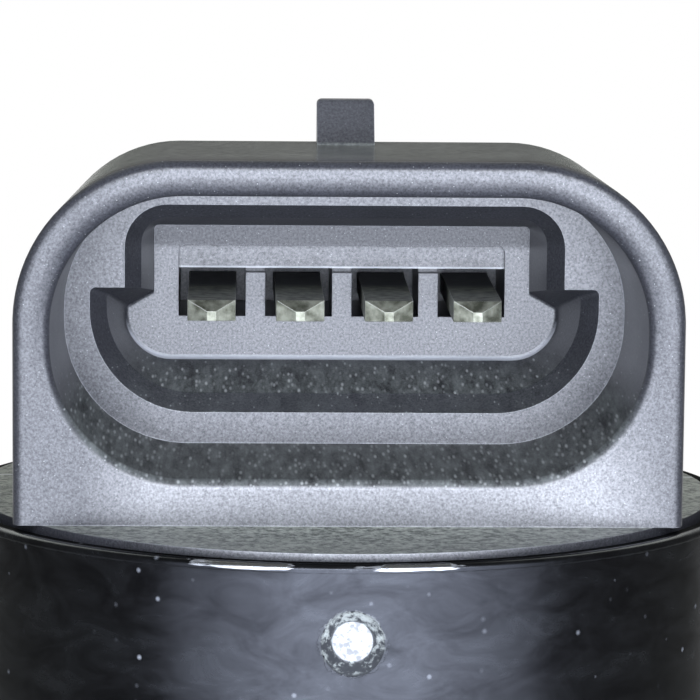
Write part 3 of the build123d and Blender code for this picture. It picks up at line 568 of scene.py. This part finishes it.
# A film of dust greys the roof behind its front edge; it is paler on the slanting ends, partly dust and
# partly painted sheen. The tab is painted paler, standing in for light on its face.
ROOF_FOOT = BASE_Z + mm(12)
TAB_FOOT = BASE_Z + mm(15.75)
ROOF_EDGE_Y = mm(-9.5)
ROOF_FILM_Y = mm(-7.5)
over_mouth = add_node(tree, "Math", {"operation": "GREATER_THAN", 1: ROOF_FOOT}, {0: cap_z})
under_tab = add_node(tree, "Math", {"operation": "LESS_THAN", 1: TAB_FOOT}, {0: cap_z})
on_roof = add_node(tree, "Math", {"operation": "MULTIPLY"}, {0: over_mouth, 1: under_tab})
roof = add_node(tree, "Math", {"operation": "MULTIPLY"}, {0: on_roof, 1: looks_up})
behind_edge = add_node(tree, "MapRange", {"From Min": ROOF_EDGE_Y, "From Max": ROOF_FILM_Y},
                       {"Value": cap_y})
aslant = add_node(tree, "Math", {"operation": "ABSOLUTE"}, {0: facing_x})
slope_dust_and_sheen = add_node(tree, "MapRange", {"From Min": 0.1, "From Max": 0.6, "To Min": 0.3, "To Max": 0.75},
                      {"Value": aslant})
roof_lies = add_node(tree, "Math", {"operation": "MULTIPLY"}, {0: roof, 1: behind_edge})
roof_dust_and_sheen = add_node(tree, "Math", {"operation": "MULTIPLY"}, {0: roof_lies, 1: slope_dust_and_sheen})
roof_dusted_and_sheened = add_node(tree, "MixRGB", {}, {"Fac": roof_dust_and_sheen, "Color1": well_shaded, "Color2": dust})
on_tab = add_node(tree, "MapRange", {"From Min": TAB_FOOT, "From Max": TAB_FOOT + mm(0.8), "To Max": 0.2},
                  {"Value": cap_z})
tab_painted_paler = add_node(tree, "MixRGB", {"Color2": linear("#74767d")}, {"Fac": on_tab, "Color1": roof_dusted_and_sheened})
# Sheen: fibre ends glint one by one, and painted sheen raises it in the middle and most of all on the sill.
SHEEN_MIDDLE = mm(1.2)
SHEEN_HALF = mm(9.4)
SHEEN_END = mm(12.6)
SILL_TOP = BASE_Z + mm(4.6)
SILL_FOOT = BASE_Z + mm(0.4)
glint = add_node(tree, "MapRange", {"From Min": 0.3, "From Max": 0.7, "To Min": 0.4, "To Max": 1.2},
                 {"Value": fibre})
from_sheen_middle = add_node(tree, "Math", {"operation": "SUBTRACT", 1: SHEEN_MIDDLE}, {0: cap_x})
off_sheen_middle = add_node(tree, "Math", {"operation": "ABSOLUTE"}, {0: from_sheen_middle})
middle_sheen = add_node(tree, "MapRange", {"From Min": SHEEN_END, "From Max": SHEEN_HALF, "To Max": 0.46},
                  {"Value": off_sheen_middle})
sill_sheen = add_node(tree, "MapRange", {"From Min": SILL_TOP, "From Max": SILL_FOOT, "To Min": 1.0,
                                          "To Max": 3.9}, {"Value": cap_z})
painted_sheen = add_node(tree, "Math", {"operation": "MULTIPLY_ADD", 2: 1.0}, {0: middle_sheen, 1: sill_sheen})
shine = add_node(tree, "Math", {"operation": "MULTIPLY"}, {0: glint, 1: painted_sheen})
# The pocket's floor is duller above its relief.
RELIEF_TOP = BASE_Z + mm(10.6)
dull_top = add_node(tree, "MapRange", {"From Min": RELIEF_TOP - mm(0.15), "From Max": RELIEF_TOP + mm(0.15),
                                       "To Max": 0.5}, {"Value": cap_z})
on_floor = add_node(tree, "Math", {"operation": "GREATER_THAN", 1: POCKET_FLOOR_Y - mm(0.1)}, {0: cap_y})
dull_floor = add_node(tree, "Math", {"operation": "MULTIPLY"}, {0: dull_top, 1: on_floor})
# Painted shade: the sheen fades out before the mouth's upper edge, by how far a point lies outside the
# mouth's outline.
MOUTH_MIDDLE_Z = BASE_Z + mm(8.08)
MOUTH_CORNER_R = mm(5.75)
MOUTH_CORNER_AT = (mm(7.05), 0, mm(0.33))
FRONT_Y = mm(-9.8)
FADE_LOW = BASE_Z + mm(6)
from_mouth = add_node(tree, "Mapping", {"Location": (0, 0, -MOUTH_MIDDLE_Z), "Scale": (1, 0, 1)},
                      {"Vector": place})
quarter = add_node(tree, "VectorMath", {"operation": "ABSOLUTE"}, {0: from_mouth})
from_corner = add_node(tree, "VectorMath", {"operation": "SUBTRACT", 1: MOUTH_CORNER_AT}, {0: quarter})
past_corner = add_node(tree, "VectorMath", {"operation": "MAXIMUM", 1: (0, 0, 0)}, {0: from_corner})
mouth_reach = add_node(tree, "VectorMath", {"operation": "LENGTH"}, {0: past_corner}).outputs["Value"]
mouth_edge_shade = add_node(tree, "MapRange", {"From Min": MOUTH_CORNER_R + mm(0.85),
                                       "From Max": MOUTH_CORNER_R + mm(0.4), "To Max": 0.8},
                    {"Value": mouth_reach})
at_front = add_node(tree, "Math", {"operation": "LESS_THAN", 1: FRONT_Y}, {0: cap_y})
upper_half = add_node(tree, "MapRange", {"From Min": FADE_LOW, "From Max": ROOF_FOOT}, {"Value": cap_z})
upper_front = add_node(tree, "Math", {"operation": "MULTIPLY"}, {0: at_front, 1: upper_half})
painted_mouth_shade = add_node(tree, "Math", {"operation": "MULTIPLY"}, {0: mouth_edge_shade, 1: upper_front})
# Painted shade: the sheen is taken off the roof's rounded front edge and off faces that look down, and
# lowered in the wells.
# Dust and grime kill the sheen too.
tips_over = add_node(tree, "MapRange", {"From Min": -0.03, "From Max": -0.15}, {"Value": facing_y})
roof_edge = add_node(tree, "Math", {"operation": "MULTIPLY"}, {0: roof, 1: tips_over})
roof_edge_shade = add_node(tree, "Math", {"operation": "MULTIPLY", 1: 0.9}, {0: roof_edge})
well_shade_dull = add_node(tree, "Math", {"operation": "MULTIPLY", 1: 0.3}, {0: in_well})
grimed = add_node(tree, "Math", {"operation": "MULTIPLY", 1: 0.6}, {0: grime})
dirt_and_shade = settled
for spoiled in (well_shade_dull, looks_down, dull_floor, painted_mouth_shade, roof_edge_shade, grimed):
    dirt_and_shade = add_node(tree, "Math", {"operation": "MAXIMUM"}, {0: dirt_and_shade, 1: spoiled})
free_of_dirt_and_shade = add_node(tree, "Math", {"operation": "SUBTRACT", 0: 1.0}, {1: dirt_and_shade})
sheen = add_node(tree, "Math", {"operation": "MULTIPLY"}, {0: shine, 1: free_of_dirt_and_shade})
# Dirt is matt. The roof left a finer die and is smoother, so it mirrors the tab that stands on it.
frost_dull = add_node(tree, "MapRange", {"To Min": 0.27, "To Max": 0.37}, {"Value": clouds})
matt = grime
for dulled in (settled, looks_down, roof_edge):
    matt = add_node(tree, "Math", {"operation": "MAXIMUM"}, {0: matt, 1: dulled})
dirt_dull = add_node(tree, "Math", {"operation": "MULTIPLY_ADD", 1: 0.35}, {0: matt, 2: frost_dull})
cap_dull = add_node(tree, "Math", {"operation": "MULTIPLY_ADD", 1: -0.15}, {0: roof, 2: dirt_dull})
eroded = add_node(tree, "Bump", {"Strength": 0.45, "Distance": mm(0.008)},
                  {"Height": fibre, "Normal": soft_edges})
link(tree, shader, {"Base Color": tab_painted_paler, "Roughness": cap_dull, "Specular IOR Level": sheen,
                    "Normal": eroded})
dress(cap_plastic, "connector_cap")


# Terminals: four blades stamped from brass strip, tinned, bent and moulded into the cap.
# The tin has yellowed a little and is scuffed where plugs have gone on and off.
tinned, tree, shader, place = new_finish("tinned_brass", {"Metallic": 0.85})
tarnish = add_node(tree, "TexNoise", {"Scale": per_mm(0.5), "Detail": 4}, {"Vector": place})
tarnished = add_node(tree, "MapRange", {"From Min": 0.35, "From Max": 0.65}, {"Value": tarnish})
tin = add_node(tree, "MixRGB", {"Color1": linear("#66685a"), "Color2": linear("#b0b2a2")},
               {"Fac": tarnished})
tin_dull = add_node(tree, "MapRange", {"To Min": 0.36, "To Max": 0.54}, {"Value": tarnish})
# Painted shade: deeper in the wells the tin is darkened and less metallic.
SHADE_FROM_Y = POCKET_FLOOR_Y - mm(0.4)
SHADE_TO_Y = POCKET_FLOOR_Y + mm(1.2)
blade_y = add_node(tree, "SeparateXYZ", {}, {0: place}).outputs["Y"]
down_well = add_node(tree, "MapRange", {"From Min": SHADE_FROM_Y, "From Max": SHADE_TO_Y},
                     {"Value": blade_y})
well_shaded_tin = add_node(tree, "MixRGB", {"Color2": linear("#3a3c3d")}, {"Fac": down_well, "Color1": tin})
bright = add_node(tree, "MapRange", {"To Min": 0.85, "To Max": 0.1}, {"Value": down_well})
# Painted highlight: the coined edges are drawn bright.
BLADE_EDGE_R = mm(0.06)
coined_edges = add_node(tree, "Bevel", {"Radius": BLADE_EDGE_R}, {})
blade_faces = add_node(tree, "NewGeometry", {}, {}).outputs["Normal"]
edge_turn = add_node(tree, "VectorMath", {"operation": "DOT_PRODUCT"}, {0: coined_edges, 1: blade_faces})
blade_edge_highlight = add_node(tree, "MapRange", {"From Min": 0.99, "From Max": 0.9, "To Max": 0.7},
                    {"Value": edge_turn.outputs["Value"]})
edge_highlighted_tin = add_node(tree, "MixRGB", {"Color2": linear("#e2e4da")}, {"Fac": blade_edge_highlight, "Color1": well_shaded_tin})
# Plug scuffs run along the blade, so their pattern is drawn out in that direction.
along_blade = add_node(tree, "Mapping", {"Scale": (1.0, 0.12, 1.0)}, {"Vector": place})
scuffs = add_node(tree, "TexNoise", {"Scale": per_mm(0.12), "Detail": 3}, {"Vector": along_blade})
scuffed = add_node(tree, "Bump", {"Strength": 0.3, "Distance": mm(0.01)},
                   {"Height": scuffs, "Normal": coined_edges})
link(tree, shader, {"Base Color": edge_highlighted_tin, "Metallic": bright, "Roughness": tin_dull, "Normal": scuffed})
dress(tinned, "terminal_1", "terminal_2", "terminal_3", "terminal_4")


# Floor: a pale studio sweep under the valve, white towards its edge, with the valve's soft shadow on it.
# It lies a little below the pintle's lowest place.
FLOOR_R = 0.34
FLOOR_SIDES = 96
FLOOR_CLEARANCE = mm(3)
PINTLE_TRAVEL = mm(4)
floor_z = cad_box[0][2] - PINTLE_TRAVEL - FLOOR_CLEARANCE
bpy.ops.object.select_all(action="DESELECT")
bpy.ops.mesh.primitive_circle_add(vertices=FLOOR_SIDES, radius=FLOOR_R, fill_type="NGON",
                                  location=(0, 0, floor_z))
floor = bpy.context.object
floor.name = "studio_floor"
bpy.ops.object.transform_apply(location=True)
pale, tree, shader, place = new_finish("pale_floor", {"Roughness": 0.9, "Specular IOR Level": 0.1,
                                                      "Base Color": linear("#b6b6b6")})
away = add_node(tree, "VectorMath", {"operation": "LENGTH"}, {0: place}).outputs["Value"]
edge = add_node(tree, "MapRange", {"From Min": 0.35 * FLOOR_R, "From Max": 0.95 * FLOOR_R}, {"Value": away})
floor_y = add_node(tree, "SeparateXYZ", {}, {0: place}).outputs["Y"]
rear = add_node(tree, "MapRange", {"From Min": 0.45 * FLOOR_R, "From Max": 0.9 * FLOOR_R},
                {"Value": floor_y})


def seen_white(tree, part_at_rear):
    """Who sees the background's own white: the camera all of it, gloss and glass its part at the rear."""
    path = add_node(tree, "LightPath", {}, {})
    mirrored = add_node(tree, "Math", {"operation": "MAXIMUM"},
                        {0: path.outputs["Is Glossy Ray"], 1: path.outputs["Is Transmission Ray"]})
    in_gloss = add_node(tree, "Math", {"operation": "MULTIPLY"}, {0: mirrored, 1: part_at_rear})
    return add_node(tree, "Math", {"operation": "MAXIMUM"}, {0: path.outputs["Is Camera Ray"], 1: in_gloss})


# The floor shows lighter than it is lit, so that it comes out pale and still takes the shadow.
FLOOR_LIFT = 0.54
seen = seen_white(tree, rear)
lift = add_node(tree, "Math", {"operation": "MULTIPLY", 1: FLOOR_LIFT}, {0: seen})
white = add_node(tree, "Emission", {"Strength": 1.0}, {})
glow = add_node(tree, "Emission", {}, {"Strength": lift})
lit = add_node(tree, "AddShader", {}, {0: shader, 1: glow})
fade = add_node(tree, "Math", {"operation": "MULTIPLY"}, {0: edge, 1: seen})
sweep = add_node(tree, "MixShader", {}, {0: fade, 1: lit, 2: white})
link(tree, tree.nodes["Material Output"], {"Surface": sweep})
floor.data.materials.append(pale)


# Studio: a white backdrop that stands behind the valve, and a dim room round it. A wide softbox of three
# sheets stands just before the camera, a bright strip above it lights the cap's brow, and two boxes high
# behind the valve light its back.
scene = bpy.context.scene
scene.view_settings.view_transform = "Standard"
scene.world = bpy.data.worlds.new("studio")
scene.world.use_nodes = True
tree = scene.world.node_tree
tree.nodes.clear()
direction = add_node(tree, "TexCoord", {}, {}).outputs["Generated"]
heading = add_node(tree, "SeparateXYZ", {}, {0: direction})
behind = add_node(tree, "MapRange", {"From Min": 0.5, "From Max": 0.9}, {"Value": heading.outputs["Y"]})
above_table = add_node(tree, "MapRange", {"From Min": 0.08, "From Max": 0.55},
                       {"Value": heading.outputs["Z"]})
below_table = add_node(tree, "MapRange", {"From Min": 0.0, "From Max": -0.06},
                       {"Value": heading.outputs["Z"]})
off_horizon = add_node(tree, "Math", {"operation": "MAXIMUM"}, {0: above_table, 1: below_table})
panel = add_node(tree, "Math", {"operation": "MULTIPLY"}, {0: behind, 1: off_horizon})
backdrop = add_node(tree, "Background", {"Strength": 1.0, "Color": linear("#ffffff")}, {})
room = add_node(tree, "Background", {"Strength": 0.1, "Color": linear("#f2f4ee")}, {})
both = add_node(tree, "MixShader", {}, {0: seen_white(tree, panel), 1: room, 2: backdrop})
add_node(tree, "OutputWorld", {}, {"Surface": both})


def softbox(name, azimuth, elevation, distance, width, height, radiance, colour):
    """A rectangular softbox of even brightness, turned to the connector, that the camera doesn't see."""
    lamp = bpy.data.lights.new(name, "AREA")
    lamp.shape = "RECTANGLE"
    lamp.size = width
    lamp.size_y = height
    lamp.energy = math.pi * width * height * radiance
    lamp.color = linear(colour)[:3]
    box = bpy.data.objects.new(name, lamp)
    turn = math.radians(azimuth)
    tip = math.radians(elevation)
    box.location = (distance * math.sin(turn) * math.cos(tip), -distance * math.cos(turn) * math.cos(tip),
                    can_high.z + distance * math.sin(tip))
    box.rotation_euler = (math.pi / 2 - tip, 0, turn)
    box.visible_camera = False
    scene.collection.objects.link(box)


# The front box is brightest in its middle: three sheets of light, each wider than the one before it.
for sheet, width in enumerate((0.09, 0.17, 0.3)):
    softbox(f"front_softbox_{sheet + 1}", azimuth=3, elevation=2, distance=0.12 + 0.001 * sheet, width=width,
            height=0.145, radiance=1.52, colour="#e8efff")
softbox("brow_softbox", azimuth=3, elevation=32, distance=0.24, width=0.26, height=0.03, radiance=8.0,
        colour="#f4f8ff")
for side, azimuth in (("left", -140), ("right", 140)):
    softbox(f"back_{side}_softbox", azimuth, elevation=48, distance=0.5, width=0.3, height=0.3, radiance=2.0,
            colour="#fbfff4")


# Camera: a long lens close up, a little above the connector and almost square to its mouth.
# Its stand-off, angles and length of lens are fitted to the outline and the row of wells in the photograph.
SENSOR = 36.0
LENS = 207.8
STAND_OFF = 0.172
ELEVATION = math.radians(7.6)
AZIMUTH = math.radians(-1.7)
ROLL = math.radians(0.5)
AIM_ABOVE_BASE = mm(7.64)
MOUTH_Y = mm(-10.2)
aim_z = BASE_Z + AIM_ABOVE_BASE
lens = bpy.data.cameras.new("camera")
lens.sensor_width = SENSOR
lens.lens = LENS
lens.clip_start = 0.01
camera = bpy.data.objects.new("camera", lens)
camera.location = (STAND_OFF * math.sin(AZIMUTH) * math.cos(ELEVATION),
                   MOUTH_Y - STAND_OFF * math.cos(AZIMUTH) * math.cos(ELEVATION),
                   aim_z + STAND_OFF * math.sin(ELEVATION))
camera.rotation_euler = (math.pi / 2 - ELEVATION, 0, AZIMUTH)
camera.rotation_euler.rotate_axis("Z", ROLL)
scene.collection.objects.link(camera)
scene.camera = camera
